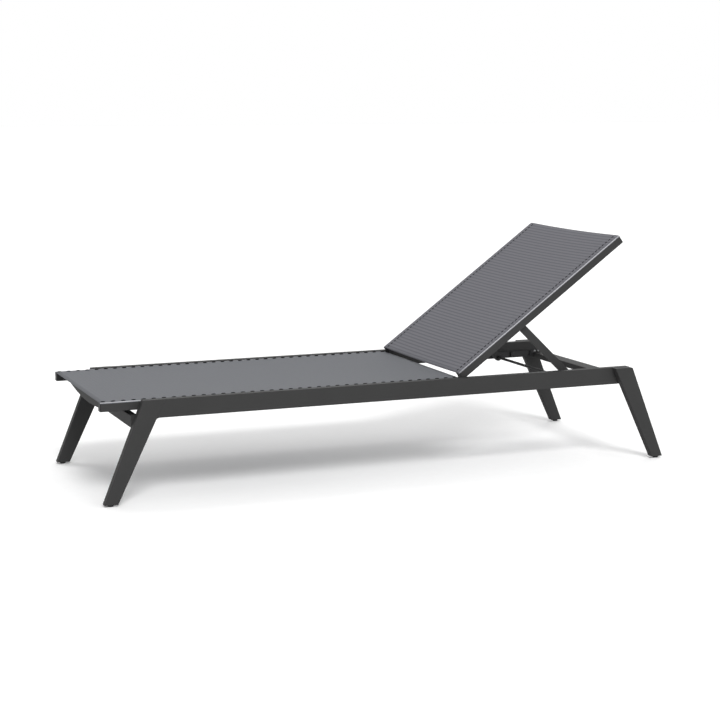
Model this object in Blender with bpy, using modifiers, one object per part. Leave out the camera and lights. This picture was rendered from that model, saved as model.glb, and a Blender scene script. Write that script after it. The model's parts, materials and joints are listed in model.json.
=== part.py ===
"""Reclining sun lounger: sling seat and sling back on a frame of rails, legs and tubes.

Metres, +X from the foot end to the head end, +Z up, Y across. Floor at Z 0.
"""
import math

import bmesh
import bpy
from mathutils import Matrix, Vector

# ---------------------------------------------------------------- driving dimensions
LENGTH = 2.000  # toe to toe
WIDTH = 0.7008  # over the outer faces of the two side rails
RAIL_TOP = 0.3287
RAIL_HEIGHT = 0.058
RAIL_THICK = 0.0287
BACK_LENGTH = 0.754
BACK_ANGLE = 36.04  # degrees above flat
TUBE_WIDE = 0.025
TUBE_TALL = 0.028
FRONT_LEG_THICK = 0.026
REAR_LEG_THICK = 0.025
TOE = 0.0437  # length of a leg's foot along X
CROSS_SIZE = 0.025
CROSS_DIP = 0.028  # how far a cross tube bows below its ends
STRUT_WIDE = 0.0265
STRUT_THICK = 0.0080
ROD_RADIUS = 0.005
SLING_THICK = 0.0017
WALL = 0.0016
GLIDE_RADIUS = 0.0095
GLIDE_TALL = 0.0057
CAP = 0.0028  # an end cap's flange, with the gap behind it

# ---------------------------------------------------------------- what follows from them
GAP = 0.0003  # between pieces that touch
FOOT = -LENGTH / 2
HEAD = LENGTH / 2
TOE_Z = GLIDE_TALL + GAP
RAIL_BOTTOM = RAIL_TOP - RAIL_HEIGHT
RAIL_OUT = WIDTH / 2
RAIL_IN = RAIL_OUT - RAIL_THICK
SEAT_TOP = RAIL_TOP - 0.0027
TUBE_TOP = SEAT_TOP - SLING_THICK - GAP
TUBE_MID = TUBE_TOP - TUBE_TALL / 2
TUBE_BOTTOM = TUBE_TOP - TUBE_TALL
SEAT_TUBE_Y = RAIL_IN - GAP - TUBE_WIDE / 2
BACK_TUBE_Y = RAIL_IN - 0.0010 - TUBE_WIDE / 2
BACK_TUBE_IN = BACK_TUBE_Y - TUBE_WIDE / 2

TUBE_START = 0.0315  # hinge axis to the lower end of the back tubes
HINGE_X = HEAD - 0.005 - BACK_LENGTH - TUBE_START
HINGE_Z = TUBE_MID
SEAT_END = HINGE_X + 0.0189  # rear end of the seat tubes and of the seat sling
RAISE = math.radians(BACK_ANGLE)

STRUT_PIVOT = 0.4155 * BACK_LENGTH  # hinge axis to the strut pivot, along the back
ROD_Z = SEAT_TOP - 0.0460
ROD_FLAT_X = HEAD - 0.22347 * BACK_LENGTH
STRUT_LENGTH = math.hypot(ROD_FLAT_X - HINGE_X - STRUT_PIVOT, HINGE_Z - ROD_Z)


def rod_x(angle):
    """Where the rod stands in the rack when the back is raised by this angle."""
    x = HINGE_X + STRUT_PIVOT * math.cos(angle)
    z = HINGE_Z + STRUT_PIVOT * math.sin(angle)
    return x + math.sqrt(STRUT_LENGTH**2 - (z - ROD_Z) ** 2)


STRUT_TURN = RAISE + math.asin((HINGE_Z + STRUT_PIVOT * math.sin(RAISE) - ROD_Z) / STRUT_LENGTH)
NOTCHES = [rod_x(0)] + [rod_x(RAISE * part) for part in (0.735, 1.0)]
NOTCHES += [rod_x(RAISE + math.radians(more)) for more in (6.5, 12.5, 18.5)]
NOTCH_HALF = ROD_RADIUS + 0.0008
RACK_THICK = 0.006
RACK_TOP = TUBE_BOTTOM - 0.0012
RACK_BOTTOM = RAIL_BOTTOM + 0.0006
RACK_REAR = ROD_FLAT_X + 0.0205
RACK_FRONT = min(NOTCHES) - 0.030
RACK_IN = RAIL_IN - GAP - RACK_THICK
ROD_END = RACK_IN - 0.0010

FRONT_RAKE, FRONT_RAKE_IN = 0.4010, 0.4877  # X per Z of a front leg's two edges
REAR_RAKE, REAR_RAKE_IN = 0.4004, 0.4780
BEAM_FRONT_X = FOOT + 0.1070
BEAM_FRONT_Z = RAIL_TOP - 0.0687
BEAM_REAR_X = ROD_FLAT_X + 0.0485
BEAM_REAR_Z = RAIL_TOP - 0.0537

GRAPHITE = ("graphite_powder_coat", (0.065, 0.066, 0.068), 0.0, 0.45)
SLING = ("woven_sling_fabric", (0.190, 0.191, 0.197), 0.0, 0.85)
BLACK_PLASTIC = ("black_nylon", (0.018, 0.018, 0.019), 0.0, 0.50)
STEEL = ("zinc_plated_steel", (0.45, 0.45, 0.44), 1.0, 0.35)
DARK_STEEL = ("dark_painted_steel", (0.050, 0.051, 0.053), 0.0, 0.42)

for old in list(bpy.data.objects):
    bpy.data.objects.remove(old, do_unlink=True)

LOUNGER = bpy.data.collections.new("sun_lounger")
CUTTERS = bpy.data.collections.new("cutters")
for made in (LOUNGER, CUTTERS):
    bpy.context.scene.collection.children.link(made)


def material(name, colour, metallic, roughness):
    found = bpy.data.materials.get(name)
    if found:
        return found
    found = bpy.data.materials.new(name)
    found.use_nodes = True
    shader = found.node_tree.nodes["Principled BSDF"]
    shader.inputs["Base Color"].default_value = (*colour, 1.0)
    shader.inputs["Metallic"].default_value = metallic
    shader.inputs["Roughness"].default_value = roughness
    return found


def empty(name, location, turn=0.0, parent=None):
    """A joint axis: turned about Y, so that +X of the pieces on it runs along them."""
    found = bpy.data.objects.new(name, None)
    found.empty_display_size = 0.05
    LOUNGER.objects.link(found)
    found.parent = parent
    found.location = location
    found.rotation_euler = (0.0, turn, 0.0)
    return found


def place(found, finish, location, rotation=(0.0, 0.0, 0.0), parent=None):
    if finish is None:
        CUTTERS.objects.link(found)
        found.hide_render = True
        found.display_type = "WIRE"
    else:
        LOUNGER.objects.link(found)
        found.data.materials.append(material(*finish))
    found.location = location
    found.rotation_euler = rotation
    found.parent = parent
    return found


def flat_shape(name, loops, thick):
    """A mesh object from closed outlines, the first the outside and the rest holes, thick along local Z."""
    curve = bpy.data.curves.new(name, "CURVE")
    curve.dimensions = "2D"
    curve.fill_mode = "BOTH"
    curve.extrude = thick / 2
    for loop in loops:
        spline = curve.splines.new("POLY")
        spline.points.add(len(loop) - 1)
        for point, (a, b) in zip(spline.points, loop):
            point.co = (a, b, 0.0, 1.0)
        spline.use_cyclic_u = True
    drawn = bpy.data.objects.new(name + "_outline", curve)
    bpy.context.scene.collection.objects.link(drawn)
    bpy.context.view_layer.update()
    mesh = bpy.data.meshes.new_from_object(drawn.evaluated_get(bpy.context.evaluated_depsgraph_get()))
    mesh.name = name
    bpy.data.objects.remove(drawn, do_unlink=True)
    solid = bmesh.new()
    solid.from_mesh(mesh)
    bmesh.ops.remove_doubles(solid, verts=solid.verts, dist=0.00001)
    bmesh.ops.dissolve_limit(solid, angle_limit=0.001, verts=solid.verts, edges=solid.edges)
    bmesh.ops.recalc_face_normals(solid, faces=solid.faces)
    solid.to_mesh(mesh)
    solid.free()
    return bpy.data.objects.new(name, mesh)


def ring(radius, count=24, centre=(0.0, 0.0)):
    angles = [2 * math.pi * i / count for i in range(count)]
    return [(centre[0] + radius * math.cos(a), centre[1] + radius * math.sin(a)) for a in angles]


def arc(centre, radius, start, end, count):
    """Points from angle start to angle end, in degrees."""
    angles = [math.radians(start + (end - start) * i / count) for i in range(count + 1)]
    return [(centre[0] + radius * math.cos(a), centre[1] + radius * math.sin(a)) for a in angles]


def rounded(wide, tall, radius, count=3):
    a, b = wide / 2 - radius, tall / 2 - radius
    corners = ((a, b, 0), (-a, b, 90), (-a, -b, 180), (a, -b, 270))
    return [p for x, z, start in corners for p in arc((x, z), radius, start, start + 90, count)]


ALONG_X = (math.pi / 2, 0.0, math.pi / 2)  # local Z to +X, local X to +Y, local Y to +Z
ALONG_Y = (math.pi / 2, 0.0, 0.0)  # local Z to -Y, local Y to +Z


def bevel(found, width, segments=2):
    made = found.modifiers.new("rounded edges", "BEVEL")
    made.width = width
    made.segments = segments
    made.limit_method = "ANGLE"
    made.angle_limit = math.radians(50)
    return found


def keep_sharp(found, start, end):
    """Leaves out of the bevel the face that meets the next piece along the line from start to end."""
    along = (Vector(end) - Vector(start)).normalized()
    weights = found.data.attributes.new("bevel_weight_edge", "FLOAT", "EDGE")
    for edge in found.data.edges:
        offs = [Vector(found.data.vertices[i].co[:2]) - Vector(start) for i in edge.vertices]
        on_line = all(abs(off.x * along.y - off.y * along.x) < 0.0006 for off in offs)
        weights.data[edge.index].value = 0.0 if on_line else 1.0
    found.modifiers["rounded edges"].limit_method = "WEIGHT"
    return found


def boolean(found, other, operation="DIFFERENCE"):
    made = found.modifiers.new(operation.lower(), "BOOLEAN")
    made.operation = operation
    made.solver = "EXACT"
    made.object = other
    return found


def box(name, size, finish, location, parent=None):
    mesh = bpy.data.meshes.new(name)
    solid = bmesh.new()
    bmesh.ops.create_cube(solid, size=1.0)
    bmesh.ops.scale(solid, vec=Vector(size), verts=solid.verts)
    solid.to_mesh(mesh)
    solid.free()
    return place(bpy.data.objects.new(name, mesh), finish, location, parent=parent)


TURN_X = Matrix.Rotation(math.pi / 2, 4, "X")


def holes(name, spots, parent=None, count=16):
    """Cutters for round holes along Y. Each spot is a centre, a radius and a depth."""
    mesh = bpy.data.meshes.new(name)
    solid = bmesh.new()
    for centre, radius, depth in spots:
        made = bmesh.ops.create_cone(
            solid, cap_ends=True, segments=count, radius1=radius, radius2=radius, depth=depth
        )["verts"]
        bmesh.ops.transform(solid, matrix=TURN_X, verts=made)
        bmesh.ops.translate(solid, vec=Vector(centre), verts=made)
    solid.to_mesh(mesh)
    solid.free()
    return place(bpy.data.objects.new(name, mesh), None, (0.0, 0.0, 0.0), parent=parent)


def turned(name, profile, finish, location, side=0, parent=None, steps=20):
    """A turned piece. The profile is (radius, height) upwards, and side points its height along Y."""
    mesh = bpy.data.meshes.new(name)
    mesh.from_pydata([(r, 0.0, h) for r, h in profile], [(i, i + 1) for i in range(len(profile) - 1)], [])
    found = bpy.data.objects.new(name, mesh)
    screw = found.modifiers.new("turned", "SCREW")
    screw.axis = "Z"
    screw.angle = 2 * math.pi
    screw.steps = screw.render_steps = steps
    screw.use_merge_vertices = True
    screw.merge_threshold = 0.00001
    screw.use_normal_calculate = False
    screw.use_normal_flip = True
    return place(found, finish, location, (-side * math.pi / 2, 0.0, 0.0), parent)


# ---------------------------------------------------------------- joint axes
hinge = empty("backrest_axis", (HINGE_X, 0.0, HINGE_Z), -RAISE)
prop = empty("prop_axis", (STRUT_PIVOT, 0.0, 0.0), STRUT_TURN, hinge)


# ---------------------------------------------------------------- rails, legs and beams
def leg_edge(from_end, rake, z):
    return from_end + rake * (z - TOE_Z)


FRONT_TOP_X = FOOT + leg_edge(0.0, FRONT_RAKE, RAIL_TOP)
FRONT_TOP_IN = FOOT + leg_edge(TOE, FRONT_RAKE_IN, RAIL_TOP)
FRONT_CORNER = FOOT + leg_edge(TOE, FRONT_RAKE_IN, RAIL_BOTTOM)
REAR_TOP_X = HEAD - leg_edge(0.0, REAR_RAKE, RAIL_TOP)
REAR_TOP_IN = HEAD - leg_edge(TOE, REAR_RAKE_IN, RAIL_TOP)
REAR_LEG_BOLTS = [(REAR_TOP_X - 0.0108, 0.0382), (REAR_TOP_X + 0.0052, 0.0382)]
SEAT_BOLTS_X = (FOOT + 0.300, HINGE_X - 0.110)
RACK_BOLTS_X = (RACK_FRONT + 0.008, RACK_REAR - 0.0075)
RACK_BOLT_Z = (RACK_TOP + RACK_BOTTOM) / 2
TUBE_BOLT_Z = TUBE_MID


def front_leg_outline():
    under = RAIL_BOTTOM - GAP
    corner = FOOT + leg_edge(TOE, FRONT_RAKE_IN, under)
    back = Vector((-FRONT_RAKE_IN, -1.0)).normalized()
    reach = 0.0056
    fillet = []
    for i in range(5):
        t = i / 4
        a, b = (1 - t) ** 2 * reach, t**2 * reach
        fillet.append((corner + a + b * back.x, under - 0.0006 * (1 - t) + b * back.y))
    return (
        [(FOOT, TOE_Z), (FRONT_TOP_X, RAIL_TOP), (FRONT_TOP_IN, RAIL_TOP), (corner, under)]
        + [(corner + reach, under)]
        + fillet
        + [(FOOT + TOE, TOE_Z)]
    )


def rail_outline():
    slack = GAP * math.hypot(1.0, FRONT_RAKE_IN)
    rear_low = REAR_TOP_X + REAR_RAKE * RAIL_HEIGHT
    over = 0.002
    return [
        (FRONT_CORNER + slack - FRONT_RAKE_IN * over, RAIL_BOTTOM - over),
        (FRONT_TOP_IN + slack + FRONT_RAKE_IN * over, RAIL_TOP + over),
        (REAR_TOP_X - REAR_RAKE * over, RAIL_TOP + over),
        (rear_low + REAR_RAKE * over, RAIL_BOTTOM - over),
    ]


for word, side in (("left", 1), ("right", -1)):
    leg = flat_shape("front_leg_" + word, [front_leg_outline()], FRONT_LEG_THICK)
    place(leg, GRAPHITE, (0.0, side * (RAIL_OUT - FRONT_LEG_THICK / 2), 0.0), ALONG_Y)
    keep_sharp(bevel(leg, 0.0022), (FRONT_CORNER, RAIL_BOTTOM), (FRONT_TOP_IN, RAIL_TOP))

    blank = flat_shape("side_rail_" + word, [rounded(RAIL_THICK, RAIL_HEIGHT, 0.0025)], LENGTH)
    rail_y = side * (RAIL_OUT - RAIL_THICK / 2)
    rail = place(blank, GRAPHITE, (0.0, rail_y, RAIL_TOP - RAIL_HEIGHT / 2), ALONG_X)
    ends = flat_shape("rail_ends_" + word, [rail_outline()], RAIL_THICK * 2)
    boolean(rail, place(ends, None, (0.0, rail_y, 0.0), ALONG_Y), "INTERSECT")
    inner = (LENGTH, RAIL_THICK - 2 * 0.0022, RAIL_HEIGHT - 2 * 0.0022)
    start = REAR_TOP_X - 0.006 - LENGTH / 2
    boolean(rail, box("rail_hollow_" + word, inner, None, (start, rail_y, RAIL_TOP - RAIL_HEIGHT / 2)))
    inner_wall = [(x, TUBE_BOLT_Z) for x in SEAT_BOLTS_X] + [(x, RACK_BOLT_Z) for x in RACK_BOLTS_X]
    spots = [((x, side * RAIL_IN, z), 0.0028, 0.022) for x, z in inner_wall]
    blind = RAIL_OUT + 0.0193  # how far out the bolt holes run into the leg
    open_end = RAIL_IN - 0.005
    leg_spots = [
        ((x, side * (open_end + blind) / 2, RAIL_TOP - down), 0.0033, blind - open_end)
        for x, down in REAR_LEG_BOLTS
    ]
    boolean(rail, holes("rail_holes_" + word, spots + leg_spots))

    leg = flat_shape(
        "rear_leg_" + word,
        [[(HEAD - TOE, TOE_Z), (HEAD, TOE_Z), (REAR_TOP_X, RAIL_TOP), (REAR_TOP_IN, RAIL_TOP)]],
        REAR_LEG_THICK,
    )
    place(leg, GRAPHITE, (0.0, side * (RAIL_OUT + GAP + REAR_LEG_THICK / 2), 0.0), ALONG_Y)
    boolean(bevel(leg, 0.0022), holes("leg_holes_" + word, leg_spots))

    for place_word, x, y in (
        ("front", FOOT + TOE / 2, RAIL_OUT - FRONT_LEG_THICK / 2),
        ("rear", HEAD - TOE / 2, RAIL_OUT + GAP + REAR_LEG_THICK / 2),
    ):
        r, h = GLIDE_RADIUS, GLIDE_TALL
        pad = [(0.0, 0.0), (r - 0.001, 0.0), (r, 0.001), (r, h), (0.0, h)]
        turned(f"foot_glide_{place_word}_{word}", pad, BLACK_PLASTIC, (x, side * y, 0.0))

beam_span = 2 * (RAIL_OUT - FRONT_LEG_THICK - GAP)
beam = flat_shape("front_crossbeam", [rounded(0.023, 0.040, 0.002)], beam_span)
place(beam, GRAPHITE, (BEAM_FRONT_X, 0.0, BEAM_FRONT_Z), ALONG_Y)
# End plates close this beam, and a slot underneath lets water out.
hollow = (0.019, beam_span - 2 * 0.003, 0.036)
boolean(beam, box("front_beam_hollow", hollow, None, (BEAM_FRONT_X, 0.0, BEAM_FRONT_Z)))
slot = (BEAM_FRONT_X, 0.0, BEAM_FRONT_Z - 0.019)
boolean(beam, box("front_beam_drain", (0.006, 0.006, 0.010), None, slot))
beam = flat_shape(
    "rear_crossbeam",
    [rounded(0.054, 0.020, 0.002), rounded(0.050, 0.016, 0.001)],
    2 * (RAIL_IN - GAP),
)
place(beam, GRAPHITE, (BEAM_REAR_X, 0.0, BEAM_REAR_Z), ALONG_Y)


# ---------------------------------------------------------------- seat and back frames
def side_tube(name, start, end, y, z, parent=None):
    outer = rounded(TUBE_WIDE, TUBE_TALL, 0.003)
    inner = rounded(TUBE_WIDE - 2 * WALL, TUBE_TALL - 2 * WALL, 0.0015)
    made = flat_shape(name, [outer, inner], end - start)
    return place(made, GRAPHITE, ((start + end) / 2, y, z), ALONG_X, parent)


def end_cap(name, x, y, z, way, parent=None):
    """A plug with a flange over the tube's end. Way is +1 when it faces +X."""
    flange, plug = CAP - GAP, 0.0075
    found = flat_shape(name, [rounded(TUBE_WIDE, TUBE_TALL, 0.003)], flange)
    place(found, BLACK_PLASTIC, (x + way * (GAP + flange / 2), y, z), ALONG_X, parent)
    bevel(found, 0.0008, 1)
    size = (plug + flange / 2, TUBE_WIDE - 2 * WALL - 2 * GAP, TUBE_TALL - 2 * WALL - 2 * GAP)
    inside = box(name + "_plug", size, None, (x + way * (GAP + (flange / 2 - plug) / 2), y, z), parent)
    return boolean(found, bevel(inside, 0.0012, 1), "UNION")


def bow(half, reach, low, high, straight_top):
    """Outline in Y and Z of a bar that bows down by CROSS_DIP. Its top edge can stay straight."""
    count = 14
    ys = [reach * (2 * i / count - 1) for i in range(count + 1)]
    line = [(y, -CROSS_DIP * (1 - (y / half) ** 2)) for y in ys]
    top = [(y, high if straight_top else z + high) for y, z in reversed(line)]
    return [(y, z + low) for y, z in line] + top


def cross_tube(name, x, half, z, parent=None, straight_top=False):
    """A tube across the frame, bowed down in the middle and open at its ends."""
    edge = CROSS_SIZE / 2
    made = flat_shape(name, [bow(half, half, -edge, edge, straight_top)], CROSS_SIZE)
    place(made, GRAPHITE, (x, 0.0, z), ALONG_X, parent)
    bevel(made, 0.0022)
    edge -= WALL
    inside = flat_shape(name + "_bore", [bow(half, half + 0.010, -edge, edge, straight_top)], 2 * edge)
    return boolean(made, place(inside, None, (x, 0.0, z), ALONG_X, parent))


BACK_END = TUBE_START + BACK_LENGTH
NORMAL_TOP = SEAT_TOP - HINGE_Z  # from the hinge axis up to the back's top surface
for word, side in (("left", 1), ("right", -1)):
    tube = side_tube("seat_side_tube_" + word, FOOT + CAP, SEAT_END - CAP, side * SEAT_TUBE_Y, TUBE_MID)
    inner_face = SEAT_TUBE_Y - TUBE_WIDE / 2
    spots = [((HINGE_X, side * inner_face, HINGE_Z), 0.0043, 0.012)]
    spots += [((x, side * SEAT_TUBE_Y, TUBE_BOLT_Z), 0.0028, TUBE_WIDE + 0.010) for x in SEAT_BOLTS_X]
    boolean(tube, holes("seat_tube_holes_" + word, spots))
    end_cap("seat_cap_front_" + word, FOOT + CAP, side * SEAT_TUBE_Y, TUBE_MID, -1)
    end_cap("seat_cap_rear_" + word, SEAT_END - CAP, side * SEAT_TUBE_Y, TUBE_MID, 1)

    y = side * BACK_TUBE_Y
    tube = side_tube("back_side_tube_" + word, TUBE_START + CAP, BACK_END - CAP, y, 0.0, hinge)
    spots = [((STRUT_PIVOT, side * BACK_TUBE_IN, 0.0), 0.0043, 0.012)]
    boolean(tube, holes("back_tube_hole_" + word, spots, hinge))
    end_cap("back_cap_lower_" + word, TUBE_START + CAP, y, 0.0, -1, hinge)
    end_cap("back_cap_head_" + word, BACK_END - CAP, y, 0.0, 1, hinge)

seat_half = SEAT_TUBE_Y - TUBE_WIDE / 2 - GAP
back_half = BACK_TUBE_IN - GAP
for word, x in (
    ("front", FOOT + 0.040 + CROSS_SIZE / 2),
    ("middle", (FOOT + SEAT_END) / 2),
    ("rear", HINGE_X - 0.0500),
):
    cross_tube("seat_cross_tube_" + word, x, seat_half, TUBE_MID, straight_top=word == "front")
for word, s in (
    ("lower", TUBE_START + 0.083),
    ("middle", TUBE_START + 0.265 * BACK_LENGTH),
    ("head", TUBE_START + 0.928 * BACK_LENGTH),
):
    cross_tube("back_cross_tube_" + word, s, back_half, 0.0, hinge)

sling = box(
    "seat_sling",
    (SEAT_END - FOOT, 2 * (SEAT_TUBE_Y + TUBE_WIDE / 2), SLING_THICK),
    SLING,
    ((FOOT + SEAT_END) / 2, 0.0, SEAT_TOP - SLING_THICK / 2),
)
bevel(sling, 0.0005, 1)
sling = box(
    "back_sling",
    (BACK_LENGTH, 2 * (BACK_TUBE_Y + TUBE_WIDE / 2), SLING_THICK),
    SLING,
    ((TUBE_START + BACK_END) / 2, 0.0, NORMAL_TOP - SLING_THICK / 2),
    hinge,
)
bevel(sling, 0.0005, 1)


# ---------------------------------------------------------------- hinge
LEAF_THICK = 0.0040
LEAF_OUT = BACK_TUBE_IN - GAP


def leaf_outline():
    """A cranked plate: an eye on the hinge axis, an arm that drops from it, and a pad on the back tube."""
    eye = arc((0.0, 0.0), 0.0110, 0, 255, 14)
    pad_top, pad_low, pad_end = 0.0080, -0.0115, 0.0960
    return (
        eye
        + [(0.0040, -0.0225), (0.0110, -0.0262), (0.0260, -0.0215), (0.0400, pad_low)]
        + arc((pad_end - 0.008, pad_low + 0.008), 0.008, 270, 360, 3)
        + arc((pad_end - 0.008, pad_top - 0.008), 0.008, 0, 90, 3)
        + [(0.0380, pad_top), (0.0345, 0.0045), (0.0300, -0.0075), (0.0205, -0.0140), (0.0120, -0.0125)]
        + [(0.0086, -0.0072)]
    )


for word, side in (("left", 1), ("right", -1)):
    leaf = flat_shape("hinge_leaf_" + word, [leaf_outline(), ring(0.00405)], LEAF_THICK)
    place(leaf, DARK_STEEL, (0.0, side * (LEAF_OUT - LEAF_THICK / 2), 0.0), ALONG_Y, hinge)

    inner_face = SEAT_TUBE_Y - TUBE_WIDE / 2
    slack = (inner_face - LEAF_OUT - 0.0006) / 2
    washer = [(0.0043, 0.0), (0.0090, 0.0), (0.0090, 0.0006), (0.0043, 0.0006), (0.0043, 0.0)]
    spot = (HINGE_X, side * (LEAF_OUT + slack), HINGE_Z)
    turned("hinge_washer_" + word, washer, BLACK_PLASTIC, spot, side)

    leaf_in = LEAF_OUT - LEAF_THICK
    grip = inner_face + WALL - leaf_in
    pin = [
        (0.0, -0.0035),
        (0.0045, -0.0032),
        (0.0068, -0.0018),
        (0.0070, -GAP),
        (0.0040, -GAP),
        (0.0040, grip + GAP),
        (0.0060, grip + GAP),
        (0.0055, grip + 0.0030),
        (0.0, grip + 0.0034),
    ]
    turned("hinge_pin_" + word, pin, STEEL, (HINGE_X, side * leaf_in, HINGE_Z), side)

# ---------------------------------------------------------------- prop
STRUT_OUT = BACK_TUBE_IN - 0.0007
STRUT_IN = STRUT_OUT - STRUT_THICK
half = STRUT_WIDE / 2
for word, side in (("left", 1), ("right", -1)):
    outline = arc((0.0, 0.0), half, 90, 270, 10) + arc((STRUT_LENGTH, 0.0), half, -90, 90, 10)
    eyes = [ring(0.00405), ring(ROD_RADIUS + GAP, 24, (STRUT_LENGTH, 0.0))]
    strut = flat_shape("prop_strut_" + word, [outline] + eyes, STRUT_THICK)
    place(strut, GRAPHITE, (0.0, side * (STRUT_OUT - STRUT_THICK / 2), 0.0), ALONG_Y, prop)

    grip = BACK_TUBE_IN + WALL - STRUT_IN
    pin = [
        (0.0, -0.0035),
        (0.0040, -0.0032),
        (0.0060, -0.0018),
        (0.0062, -GAP),
        (0.0040, -GAP),
        (0.0040, grip + GAP),
        (0.0060, grip + GAP),
        (0.0055, grip + 0.0030),
        (0.0, grip + 0.0034),
    ]
    spot = (STRUT_PIVOT, side * STRUT_IN, 0.0)
    turned("strut_pivot_pin_" + word, pin, STEEL, spot, side, hinge)

    r = ROD_RADIUS + GAP
    collar = [(r, 0.0), (0.0070, 0.0), (0.0070, 0.0070), (0.0062, 0.0080), (r, 0.0080), (r, 0.0)]
    spot = (STRUT_LENGTH, side * (STRUT_IN - GAP), 0.0)
    turned("prop_collar_" + word, collar, BLACK_PLASTIC, spot, -side, prop)

r, e = ROD_RADIUS, ROD_END
rod = [(0.0, -e), (r - 0.001, -e), (r, 0.001 - e), (r, e - 0.001), (r - 0.001, e), (0.0, e)]
turned("prop_rod", rod, GRAPHITE, (STRUT_LENGTH, 0.0, 0.0), 1, prop, 24)


# ---------------------------------------------------------------- racks and bolts
def rack_outline():
    low = ROD_Z - ROD_RADIUS - 0.0003
    points = [(RACK_FRONT, RACK_BOTTOM), (RACK_FRONT, RACK_TOP)]
    for x in sorted(NOTCHES):
        points += [
            (x - NOTCH_HALF - 0.0015, RACK_TOP),
            (x - NOTCH_HALF, RACK_TOP - 0.0020),
            (x - NOTCH_HALF, low + 0.0035),
            (x - NOTCH_HALF + 0.0018, low + 0.0010),
            (x - NOTCH_HALF + 0.0045, low),
            (x + NOTCH_HALF - 0.0045, low),
            (x + NOTCH_HALF - 0.0018, low + 0.0010),
            (x + NOTCH_HALF, low + 0.0035),
            (x + NOTCH_HALF, RACK_TOP - 0.0020),
            (x + NOTCH_HALF + 0.0015, RACK_TOP),
        ]
    return points + [(RACK_REAR, RACK_TOP), (RACK_REAR, RACK_BOTTOM)]


def bolt(name, x, z, head_y, side, reach, radius=0.0025, head=0.0040):
    """A low round-headed bolt whose head bears on the face at head_y and whose shank runs outwards."""
    profile = [
        (0.0, -0.0022),
        (head * 0.7, -0.0021),
        (head, -0.0012),
        (head, -GAP),
        (radius, -GAP),
        (radius, reach),
        (0.0, reach),
    ]
    turned(name, profile, STEEL, (x, side * head_y, z), side, steps=16)


for word, side in (("left", 1), ("right", -1)):
    spots = [ring(0.0028, 16, (x, RACK_BOLT_Z)) for x in RACK_BOLTS_X]
    rack = flat_shape("rack_" + word, [rack_outline()] + spots, RACK_THICK)
    place(rack, BLACK_PLASTIC, (0.0, side * (RACK_IN + RACK_THICK / 2), 0.0), ALONG_Y)
    for end_word, x in zip(("front", "rear"), RACK_BOLTS_X):
        bolt(f"rack_bolt_{end_word}_{word}", x, RACK_BOLT_Z, RACK_IN, side, RACK_THICK + 0.008)
    for end_word, (x, down) in zip(("front", "rear"), REAR_LEG_BOLTS):
        reach = RAIL_THICK + 0.018
        name = f"rear_leg_bolt_{end_word}_{word}"
        bolt(name, x, RAIL_TOP - down, RAIL_IN, side, reach, 0.0030)
    for end_word, x in zip(("front", "rear"), SEAT_BOLTS_X):
        y = SEAT_TUBE_Y - TUBE_WIDE / 2
        bolt(f"seat_bolt_{end_word}_{word}", x, TUBE_BOLT_Z, y, side, TUBE_WIDE + 0.0055, head=0.0055)
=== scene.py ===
"""The looks of the reclining sun lounger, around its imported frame. Metres, +X to the head end, +Z up."""
import json
import math

import bmesh
import bpy
from mathutils import Matrix, Vector


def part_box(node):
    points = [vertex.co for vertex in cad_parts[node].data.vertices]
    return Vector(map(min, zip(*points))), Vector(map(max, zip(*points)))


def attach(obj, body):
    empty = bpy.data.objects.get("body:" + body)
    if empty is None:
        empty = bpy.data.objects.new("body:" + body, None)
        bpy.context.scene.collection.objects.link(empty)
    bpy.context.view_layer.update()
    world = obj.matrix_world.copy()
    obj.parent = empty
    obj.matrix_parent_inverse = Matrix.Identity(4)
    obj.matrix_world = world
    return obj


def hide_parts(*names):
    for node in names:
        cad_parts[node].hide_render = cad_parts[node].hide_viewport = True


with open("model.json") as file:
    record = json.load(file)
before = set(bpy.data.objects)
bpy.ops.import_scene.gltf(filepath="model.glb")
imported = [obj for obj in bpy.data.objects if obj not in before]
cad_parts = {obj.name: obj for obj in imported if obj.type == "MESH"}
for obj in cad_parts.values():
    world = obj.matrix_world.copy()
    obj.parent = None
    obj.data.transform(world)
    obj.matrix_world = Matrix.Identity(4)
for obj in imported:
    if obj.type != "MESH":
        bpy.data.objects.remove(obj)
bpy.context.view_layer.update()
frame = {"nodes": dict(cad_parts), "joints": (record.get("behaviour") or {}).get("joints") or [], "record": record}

# ---------------------------------------------------------------- places read from the frame
SEAT_LOW, SEAT_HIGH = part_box("seat_sling")
TUBE_LOW, TUBE_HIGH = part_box("seat_side_tube_left")
JOINTS = {joint["name"]: joint for joint in frame["joints"]}
HINGE = Vector(JOINTS["backrest_hinge"]["pos_m"])
BACK_ANGLE = -math.radians(JOINTS["backrest_hinge"]["range_deg"][0])
BACK_TURN = Matrix.Rotation(-BACK_ANGLE, 4, "Y")
BACK_PLACE = Matrix.Translation(HINGE) @ BACK_TURN  # flat beside the hinge axis, to where it stands


def along_back(node):
    """Lowest and highest corner of a node on the back, measured along the back from the hinge axis."""
    turned = [BACK_PLACE.inverted() @ v.co for v in frame["nodes"][node].data.vertices]
    return (
        Vector(map(min, zip(*turned))),
        Vector(map(max, zip(*turned))),
    )


SLING_THICK = 0.0014
TUBE_WIDE = TUBE_HIGH.y - TUBE_LOW.y
CORNER = 0.0032  # rounding of the side tubes' top corners, which the cloth follows
LIP = 0.0012  # straight edge of the cloth below that corner
SLING_ROWS = 60  # steps along a sling
SPAN_STEPS, TOP_STEPS, CORNER_STEPS = 24, 4, 4  # across half a sling: free span, tube's top, its corner
SEAT_SAG = 0.0035
BACK_SAG_START, BACK_SAG_RISE = 0.0035, 0.0015
WELT_RADIUS = 0.0011
WELT_INSET, WELT_DROP, WELT_END = 0.0004, 0.0010, 0.0008  # from the cloth's side, its top and its ends
SEAM_END = 0.012  # from a sling's end to the line its stitches follow
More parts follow.
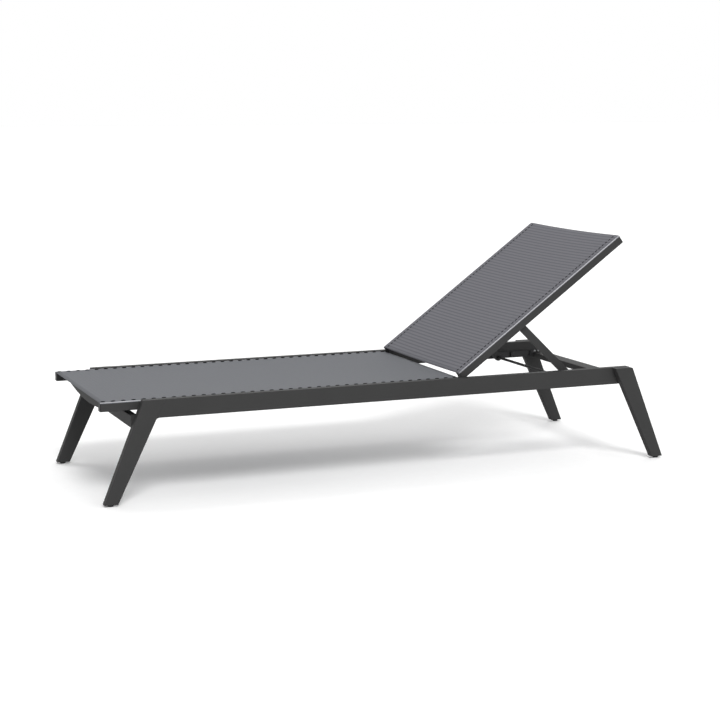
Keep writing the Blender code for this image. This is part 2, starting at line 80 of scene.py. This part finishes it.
# Inset is from the cloth's outer edge, and lift is how high the middle of a stitch lies over the cloth.
# The seat's stitches are larger, thicker, near-black and set nearer the edge than the back's, so their dark dashes
# also paint the shaded gap between the cloth's edge and the rail.
SEAT_STITCH_AND_GAP_SHADE = {
    "pitch": 0.0322,
    "length": 0.0150,
    "width": 0.0080,
    "thick": 0.0036,
    "inset": 0.0120,
    "lift": 0.0010,
}
BACK_STITCH = {
    "pitch": 0.0158,
    "length": 0.0105,
    "width": 0.0050,
    "thick": 0.0020,
    "inset": 0.0265,
    "lift": 0.0004,
}
RIB_PITCH = 0.0137  # between the raised picks that cross the cloth
WEAVE_PITCH = 0.0024
FLOOR_HALF = 60.0


# ---------------------------------------------------------------- materials
def srgb(code, alpha=1.0):
    """A hex colour as linear RGBA."""
    parts = [int(code[i : i + 2], 16) / 255 for i in (0, 2, 4)]
    linear = [c / 12.92 if c <= 0.04045 else ((c + 0.055) / 1.055) ** 2.4 for c in parts]
    return (*linear, alpha)


def node(tree, kind, links=None, **settings):
    """Adds a node. Links maps an input to a value, or to (node, output)."""
    made = tree.nodes.new(kind)
    for name, value in settings.items():
        setattr(made, name, value)
    for name, value in (links or {}).items():
        if isinstance(value, tuple) and hasattr(value[0], "outputs"):
            tree.links.new(value[0].outputs[value[1]], made.inputs[name])
        else:
            made.inputs[name].default_value = value
    return made


def finish_of(name):
    made = bpy.data.materials.new(name)
    made.use_nodes = True
    return made, made.node_tree, made.node_tree.nodes["Principled BSDF"]


def tint_between(tree, by, light, dark):
    """A colour that goes from light to dark with a noise or wave node."""
    mix = node(tree, "ShaderNodeMix", {"Factor": (by, "Fac")}, data_type="RGBA")
    mix.inputs["A"].default_value = srgb(light)
    mix.inputs["B"].default_value = srgb(dark)
    return mix


def noise(tree, place, scale, detail, output="Object"):
    return node(tree, "ShaderNodeTexNoise", {"Vector": (place, output), "Scale": scale, "Detail": detail})


def powder_coat(name="graphite powder coat on aluminium", light="363636", dark="323232", rough=0.5):
    """Polyester powder baked on: a fine orange peel about 1.5 mm across breaks the shine."""
    made, tree, shader = finish_of(name)
    place = node(tree, "ShaderNodeTexCoord")
    peel = noise(tree, place, 650.0, 2.0)
    cloud = noise(tree, place, 9.0, 3.0)
    mix = tint_between(tree, cloud, light, dark)
    shader.inputs["Specular IOR Level"].default_value = 0.03
    bump = node(
        tree, "ShaderNodeBump", {"Height": (peel, "Fac"), "Strength": 0.12, "Distance": 0.0002}
    )
    spread = node(
        tree,
        "ShaderNodeMapRange",
        {"Value": (peel, "Fac"), "To Min": rough - 0.04, "To Max": rough + 0.05},
    )
    tree.links.new(mix.outputs["Result"], shader.inputs["Base Color"])
    tree.links.new(spread.outputs["Result"], shader.inputs["Roughness"])
    tree.links.new(bump.outputs["Normal"], shader.inputs["Normal"])
    return made


def moulded_nylon(name="black glass-filled nylon", colour="232324"):
    """Injection-moulded nylon: spark-eroded texture about 0.5 mm across, matt and nearly black."""
    made, tree, shader = finish_of(name)
    place = node(tree, "ShaderNodeTexCoord")
    grain = noise(tree, place, 1800.0, 1.0)
    tint = tint_between(tree, grain, colour, "2a2a2b")
    bump = node(
        tree, "ShaderNodeBump", {"Height": (grain, "Fac"), "Strength": 0.25, "Distance": 0.0001}
    )
    shader.inputs["Roughness"].default_value = 0.55
    shader.inputs["Specular IOR Level"].default_value = 0.15
    tree.links.new(tint.outputs["Result"], shader.inputs["Base Color"])
    tree.links.new(bump.outputs["Normal"], shader.inputs["Normal"])
    return made


def zinc_plate(name="zinc-plated steel"):
    """Zinc-plated steel fasteners: a grey metal with a soft mottle left by the plating bath."""
    made, tree, shader = finish_of(name)
    place = node(tree, "ShaderNodeTexCoord")
    mottle = noise(tree, place, 900.0, 4.0)
    tint = tint_between(tree, mottle, "8f9092", "b4b5b6")
    rough = node(
        tree, "ShaderNodeMapRange", {"Value": (mottle, "Fac"), "To Min": 0.28, "To Max": 0.45}
    )
    shader.inputs["Metallic"].default_value = 1.0
    tree.links.new(tint.outputs["Result"], shader.inputs["Base Color"])
    tree.links.new(rough.outputs["Result"], shader.inputs["Roughness"])
    return made


def woven_sling(name, light, dark, rib_and_groove_shade, rib_depth_and_shade):
    """PVC-coated polyester mesh: raised picks cross it every RIB_PITCH, over a basket weave. Its colour is
    darkened towards the rib colour where the bump sinks it, as painted shade in the grooves.
    """
    made, tree, shader = finish_of(name)
    place = node(tree, "ShaderNodeUVMap", uv_map="cloth")
    split = node(tree, "ShaderNodeSeparateXYZ", {"Vector": (place, "UV")})

    def wave(axis, pitch):
        """0 to 1 and back along an axis of the cloth, once every pitch metres."""
        turn = node(
            tree,
            "ShaderNodeMath",
            {0: (split, axis), 1: 2 * math.pi / pitch},
            operation="MULTIPLY",
        )
        swing = node(tree, "ShaderNodeMath", {0: (turn, "Value")}, operation="COSINE")
        return node(
            tree,
            "ShaderNodeMath",
            {0: (swing, "Value"), 1: 0.5, 2: 0.5},
            operation="MULTIPLY_ADD",
        )

    ribs = wave("Y", RIB_PITCH)
    groove = node(tree, "ShaderNodeMath", {0: (ribs, "Value"), 1: 2.2}, operation="POWER")
    warp = wave("X", WEAVE_PITCH)
    weft = wave("Y", WEAVE_PITCH)
    weave = node(
        tree, "ShaderNodeMath", {0: (warp, "Value"), 1: (weft, "Value")}, operation="MULTIPLY"
    )
    tone = tint_between(tree, noise(tree, place, 60.0, 3.0, output="UV"), light, dark)
    # groove depth, which also sets how much painted shade darkens the grooves
    groove_depth_and_shade = node(
        tree, "ShaderNodeMath", {0: (groove, "Value"), 1: rib_depth_and_shade}, operation="MULTIPLY"
    )
    ribbed_with_groove_shade = node(tree, "ShaderNodeMix", {"Factor": (groove_depth_and_shade, "Value")}, data_type="RGBA")
    tree.links.new(tone.outputs["Result"], ribbed_with_groove_shade.inputs["A"])
    ribbed_with_groove_shade.inputs["B"].default_value = srgb(rib_and_groove_shade)
    holes = node(tree, "ShaderNodeMath", {0: (weave, "Value"), 1: 0.22}, operation="MULTIPLY")
    cloth = node(tree, "ShaderNodeMix", {"Factor": (holes, "Value")}, data_type="RGBA")
    tree.links.new(ribbed_with_groove_shade.outputs["Result"], cloth.inputs["A"])
    cloth.inputs["B"].default_value = srgb(rib_and_groove_shade)
    height = node(
        tree,
        "ShaderNodeMath",
        {0: (weave, "Value"), 1: -0.35, 2: (groove_depth_and_shade, "Value")},
        operation="MULTIPLY_ADD",
    )
    bump = node(
        tree, "ShaderNodeBump", {"Height": (height, "Value"), "Strength": 0.5, "Distance": 0.0006}
    )
    bump.invert = True
    shader.inputs["Roughness"].default_value = 0.7
    shader.inputs["Specular IOR Level"].default_value = 0.12
    tree.links.new(cloth.outputs["Result"], shader.inputs["Base Color"])
    tree.links.new(bump.outputs["Normal"], shader.inputs["Normal"])
    return made


def twisted_thread(name="black polyester thread and painted gap shade", colour="0c0c0d"):
    """Bonded polyester thread, with a twist that shows as fine slanting bands. Its near-black colour also paints
    the shaded gap between the seat's cloth and the rail, through the seat's large stitches.
    """
    made, tree, shader = finish_of(name)
    place = node(tree, "ShaderNodeTexCoord")
    twist = node(
        tree, "ShaderNodeTexWave", {"Vector": (place, "Object"), "Scale": 420.0, "Distortion": 1.0}
    )
    twist.bands_direction = "DIAGONAL"
    tint = tint_between(tree, twist, colour, "141416")
    shader.inputs["Roughness"].default_value = 0.7
    shader.inputs["Specular IOR Level"].default_value = 0.05
    tree.links.new(tint.outputs["Result"], shader.inputs["Base Color"])
    return made


def pale_welt_painted_highlight(name="pale PVC welt, painted highlight"):
    """Extruded PVC welt along the cloth's edge, given a pale colour that paints the highlight on the rounded top
    edge of the tube and cloth, so it shows as a light line.
    """
    made, tree, shader = finish_of(name)
    place = node(tree, "ShaderNodeTexCoord")
    # pale greys: a painted highlight, not the welt's own colour
    tint = tint_between(tree, noise(tree, place, 40.0, 2.0), "b9b9bc", "a9a9ad")
    shader.inputs["Roughness"].default_value = 0.45
    tree.links.new(tint.outputs["Result"], shader.inputs["Base Color"])
    return made


GRAPHITE = powder_coat()
DARK_STEEL = powder_coat("dark powder coat on steel", "2c2c2d", "29292a", 0.45)
NYLON = moulded_nylon()
ZINC = zinc_plate()
# The last number sets the groove depth and with it the painted groove shade; the back's is deeper.
SEAT_CLOTH = woven_sling("woven seat sling", "65676b", "606266", "45474c", 0.08)
BACK_CLOTH = woven_sling("woven back sling", "717177", "6b6b70", "3a3a3f", 0.45)
THREAD_AND_GAP_SHADE = twisted_thread()
# the welts' pale finish is a painted highlight along the cloth's edges
WELT_PAINTED_HIGHLIGHT = pale_welt_painted_highlight()
NODE_FINISH = {
    "graphite_frame": GRAPHITE,
    "black_nylon": NYLON,
    "zinc_steel": ZINC,
    "dark_steel": DARK_STEEL,
}


def finish_frame():
    """Every frame piece takes the finish of its slot. The rack bolts are dark, like their racks."""
    slots = {part["node"]: part["material_slot"] for part in frame["record"]["subparts"]}
    for name, piece in frame["nodes"].items():
        finish = NODE_FINISH.get("dark_steel" if name.startswith("rack_bolt") else slots[name])
        if finish:
            piece.data.materials.clear()
            piece.data.materials.append(finish)


# ---------------------------------------------------------------- mesh helpers
def piece_from(solid, name, finish, smooth=True):
    """A bmesh made into an object at the origin."""
    mesh = bpy.data.meshes.new(name)
    solid.to_mesh(mesh)
    solid.free()
    for face in mesh.polygons:
        face.use_smooth = smooth
    made = bpy.data.objects.new(name, mesh)
    bpy.context.scene.collection.objects.link(made)
    mesh.materials.append(finish)
    return made


def modified(made):
    """The object with its modifiers applied to its mesh."""
    bpy.context.view_layer.update()
    graph = bpy.context.evaluated_depsgraph_get()
    mesh = bpy.data.meshes.new_from_object(made.evaluated_get(graph))
    old = made.data
    made.modifiers.clear()
    made.data = mesh
    bpy.data.meshes.remove(old)
    return made


# ---------------------------------------------------------------- slings
def cloth_profile(half, sag, drop):
    """Half a section across the sling, middle to the lip outside the tube: (y, z) from its top."""
    flat_start = half - TUBE_WIDE
    points = []
    for i in range(SPAN_STEPS + 1):
        y = flat_start * i / SPAN_STEPS
        points.append((y, -sag * (1 - (y / flat_start) ** 2)))
    corner_y = half - CORNER
    for i in range(1, TOP_STEPS + 1):
        points.append((flat_start + (corner_y - flat_start) * i / TOP_STEPS, 0.0))
    for i in range(1, CORNER_STEPS + 1):
        a = math.pi / 2 * (1 - i / CORNER_STEPS)
        points.append((corner_y + CORNER * math.cos(a), -CORNER + CORNER * math.sin(a)))
    points.append((half, -drop))
    return points


def sling(name, length, half, sag_of, finish, place, body, cad_node):
    """Cloth over two side tubes, from 0 to length along X before it is placed, and its flat width."""
    solid = bmesh.new()
    uv = solid.loops.layers.uv.new("cloth")
    grid, marks = [], {}
    for i in range(SLING_ROWS + 1):
        x = length * i / SLING_ROWS
        right = cloth_profile(half, sag_of(x / length), CORNER + LIP)
        section = [(-y, z) for y, z in reversed(right[1:])] + right
        row, run = [], 0.0
        for k, (y, z) in enumerate(section):
            if k:
                run += math.dist(section[k - 1], (y, z))
            vert = solid.verts.new(place @ Vector((x, y, z)))
            marks[vert] = (run, x)
            row.append(vert)
        grid.append(row)
    for a, b in zip(grid, grid[1:]):
        for k in range(len(a) - 1):
            face = solid.faces.new((a[k], b[k], b[k + 1], a[k + 1]))
            for loop in face.loops:
                loop[uv].uv = marks[loop.vert]
    bmesh.ops.recalc_face_normals(solid, faces=solid.faces)
    up = place.to_3x3() @ Vector((0.0, 0.0, 1.0))
    middle = solid.faces[:][len(solid.faces) // 2]
    if middle.normal.dot(up) < 0:
        bmesh.ops.reverse_faces(solid, faces=solid.faces[:])
    width = marks[grid[0][-1]][0]
    made = piece_from(solid, name, finish)
    wall = made.modifiers.new("thickness", "SOLIDIFY")
    wall.thickness = SLING_THICK
    wall.offset = -1.0
    modified(made)
    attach(made, body)
    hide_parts(cad_node)
    return made, width


def strip(name, path, radius, finish, body):
    """A round cord that follows a path of points."""
    curve = bpy.data.curves.new(name, "CURVE")
    curve.dimensions = "3D"
    curve.bevel_depth = radius
    curve.bevel_resolution = 2
    curve.use_fill_caps = True
    spline = curve.splines.new("POLY")
    spline.points.add(len(path) - 1)
    for point, spot in zip(spline.points, path):
        point.co = (*spot, 1.0)
    drawn = bpy.data.objects.new(name + " line", curve)
    bpy.context.scene.collection.objects.link(drawn)
    bpy.context.view_layer.update()
    graph = bpy.context.evaluated_depsgraph_get()
    mesh = bpy.data.meshes.new_from_object(drawn.evaluated_get(graph))
    bpy.data.objects.remove(drawn, do_unlink=True)
    solid = bmesh.new()
    solid.from_mesh(mesh)
    bmesh.ops.remove_doubles(solid, verts=solid.verts, dist=0.00001)
    bmesh.ops.recalc_face_normals(solid, faces=solid.faces)
    made = piece_from(solid, name, finish)
    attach(made, body)
    return made


# ---------------------------------------------------------------- stitches
def stitch_tree():
    """Geometry nodes: round-ended stitches laid along a line, one every Pitch, each Length long."""
    tree = bpy.data.node_groups.new("running stitch", "GeometryNodeTree")
    face = tree.interface
    face.new_socket("Geometry", in_out="INPUT", socket_type="NodeSocketGeometry")
    for name, start in (("Pitch", 0.03), ("Length", 0.02), ("Width", 0.002), ("Thick", 0.001)):
        face.new_socket(name, in_out="INPUT", socket_type="NodeSocketFloat").default_value = start
    face.new_socket("Thread", in_out="INPUT", socket_type="NodeSocketMaterial")
    face.new_socket("Geometry", in_out="OUTPUT", socket_type="NodeSocketGeometry")
    start = node(tree, "NodeGroupInput")
    line = node(tree, "GeometryNodeMeshToCurve", {"Mesh": (start, "Geometry")})
    spots = node(
        tree,
        "GeometryNodeCurveToPoints",
        {"Curve": (line, "Curve"), "Length": (start, "Pitch")},
        mode="LENGTH",
    )
    ball = node(
        tree,
        "GeometryNodeMeshUVSphere",
        {"Segments": 8, "Rings": 6, "Radius": 0.5},
    )
    size = node(
        tree,
        "ShaderNodeCombineXYZ",
        {"X": (start, "Width"), "Y": (start, "Thick"), "Z": (start, "Length")},
    )
    laid = node(
        tree,
        "GeometryNodeInstanceOnPoints",
        {
            "Points": (spots, "Points"),
            "Instance": (ball, "Mesh"),
            "Rotation": (spots, "Rotation"),
            "Scale": (size, "Vector"),
        },
    )
    real = node(tree, "GeometryNodeRealizeInstances", {"Geometry": (laid, "Instances")})
    thread = node(
        tree,
        "GeometryNodeSetMaterial",
        {"Geometry": (real, "Geometry"), "Material": (start, "Thread")},
    )
    node(tree, "NodeGroupOutput", {"Geometry": (thread, "Geometry")})
    return tree


STITCHES = stitch_tree()


def seam(name, path, stitch, body):
    """Stitches along a path of points. Stitch holds their pitch and size."""
    mesh = bpy.data.meshes.new(name)
    mesh.from_pydata(path, [(i, i + 1) for i in range(len(path) - 1)], [])
    made = bpy.data.objects.new(name, mesh)
    bpy.context.scene.collection.objects.link(made)
    sewn = made.modifiers.new("stitches", "NODES")
    sewn.node_group = STITCHES
    sockets = {s.name: s.identifier for s in STITCHES.interface.items_tree if s.in_out == "INPUT"}
    for socket in ("Pitch", "Length", "Width", "Thick"):
        sewn[sockets[socket]] = stitch[socket.lower()]
    sewn[sockets["Thread"]] = THREAD_AND_GAP_SHADE
    modified(made)
    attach(made, body)
    return made


def line_between(place, start, end, y, z, count=12):
    return [place @ Vector((start + (end - start) * i / count, y, z)) for i in range(count + 1)]


def dress(word, length, half, sag_of, finish, place, body, stitch):
    """A sling with its welts, whose pale colour is a painted highlight along the cloth's edges, and its sleeve
    seams; on the seat the seams also paint the shaded gap beside the rail.
    """
    cloth, width = sling(word + "_cloth", length, half, sag_of, finish, place, body, word + "_sling")
    for side_word, side in (("left", 1), ("right", -1)):
        edge = side * (half - WELT_INSET)
        lip = line_between(place, WELT_END, length - WELT_END, edge, -WELT_DROP)
        strip(f"{word}_welt_{side_word}", lip, WELT_RADIUS, WELT_PAINTED_HIGHLIGHT, body)
        y = half - stitch["inset"]
        z = stitch["lift"] - max(0.0, sag_of(0.5) * (1 - (y / (half - TUBE_WIDE)) ** 2))
        path = line_between(place, SEAM_END, length - SEAM_END, side * y, z)
        seam(f"{word}_sleeve_seam_{side_word}", path, stitch, body)


def seat_sag(t):
    """The seat's cloth gives a little between its ends, and its free edges stay straight."""
    return SEAT_SAG * math.sin(math.pi * min(max(t, 0.0), 1.0)) ** 0.7


def back_sag(t):
    """The back's cloth gives a little more towards its free top edge."""
    return BACK_SAG_START + BACK_SAG_RISE * t


finish_frame()
seat_place = Matrix.Translation((SEAT_LOW.x, 0.0, SEAT_HIGH.z))
dress(
    "seat",
    SEAT_HIGH.x - SEAT_LOW.x,
    SEAT_HIGH.y,
    seat_sag,
    SEAT_CLOTH,
    seat_place,
    "frame",
    SEAT_STITCH_AND_GAP_SHADE,
)
back_low, back_high = along_back("back_sling")
back_place = BACK_PLACE @ Matrix.Translation((back_low.x, 0.0, back_high.z))
dress(
    "back",
    back_high.x - back_low.x,
    back_high.y,
    back_sag,
    BACK_CLOTH,
    back_place,
    "backrest",
    BACK_STITCH,
)


# ---------------------------------------------------------------- floor, light and camera
def paper_floor():
    """Matt white paper sweep under the lounger."""
    made, tree, shader = finish_of("matt white paper")
    place = node(tree, "ShaderNodeTexCoord")
    tint = tint_between(tree, noise(tree, place, 30.0, 4.0), "fbfbfb", "ffffff")
    shader.inputs["Roughness"].default_value = 0.95
    shader.inputs["Specular IOR Level"].default_value = 0.0
    tree.links.new(tint.outputs["Result"], shader.inputs["Base Color"])
    solid = bmesh.new()
    bmesh.ops.create_grid(solid, x_segments=1, y_segments=1, size=FLOOR_HALF)
    floor = piece_from(solid, "floor", made, smooth=False)
    return floor


def soft_sun(name, azimuth, elevation, spread, power):
    """A wide even light from azimuth degrees to the right of -Y and elevation degrees up."""
    data = bpy.data.lights.new(name, "SUN")
    data.angle = math.radians(spread)
    data.energy = power
    made = bpy.data.objects.new(name, data)
    bpy.context.scene.collection.objects.link(made)
    a, e = math.radians(azimuth), math.radians(elevation)
    toward = Vector((math.sin(a) * math.cos(e), -math.cos(a) * math.cos(e), math.sin(e)))
    made.rotation_euler = toward.to_track_quat("Z", "Y").to_euler()


def studio():
    """A white sky, dim overhead and from the foot end, and white to the camera, with two soft suns."""
    world = bpy.data.worlds.new("studio")
    bpy.context.scene.world = world
    world.use_nodes = True
    tree = world.node_tree
    sky = tree.nodes["Background"]
    toward = node(tree, "ShaderNodeTexCoord")
    along = node(tree, "ShaderNodeSeparateXYZ", {"Vector": (toward, "Generated")})
    glow = node(
        tree,
        "ShaderNodeMapRange",
        {"Value": (along, "X"), "From Min": -1.0, "From Max": 0.1, "To Min": 0.45, "To Max": 1.30},
    )
    low = node(
        tree,
        "ShaderNodeMapRange",
        {"Value": (along, "Z"), "From Min": 0.0, "From Max": 0.8, "To Min": 1.9, "To Max": 0.45},
    )
    strength = node(
        tree, "ShaderNodeMath", {0: (glow, "Result"), 1: (low, "Result")}, operation="MULTIPLY"
    )
    tree.links.new(strength.outputs["Value"], sky.inputs["Strength"])
    seen = node(tree, "ShaderNodeBackground", {"Strength": 1.0, "Color": (1.0, 1.0, 1.0, 1.0)})
    sky.inputs["Color"].default_value = (1.0, 1.0, 1.0, 1.0)
    ray = node(tree, "ShaderNodeLightPath")
    shown = node(
        tree,
        "ShaderNodeMixShader",
        {"Fac": (ray, "Is Camera Ray"), 1: (sky, "Background"), 2: (seen, "Background")},
    )
    tree.links.new(shown.outputs["Shader"], tree.nodes["World Output"].inputs["Surface"])
    soft_sun("key", azimuth=-8.0, elevation=44.0, spread=20.0, power=1.7)
    soft_sun("back", azimuth=176.0, elevation=65.0, spread=20.0, power=0.32)
    bpy.context.scene.view_settings.view_transform = "Standard"


def camera():
    """A long lens in front of the foot end, to the right, a little above the back."""
    data = bpy.data.cameras.new("camera")
    data.lens = 84.07
    data.sensor_width = 36.0
    data.clip_end = 200.0
    made = bpy.data.objects.new("camera", data)
    bpy.context.scene.collection.objects.link(made)
    made.location = (-2.2008, -5.3441, 1.2649)
    made.rotation_euler = (math.radians(90.0 - 8.964), 0.0, math.radians(-22.383))
    bpy.context.scene.camera = made


paper_floor()
studio()
camera()
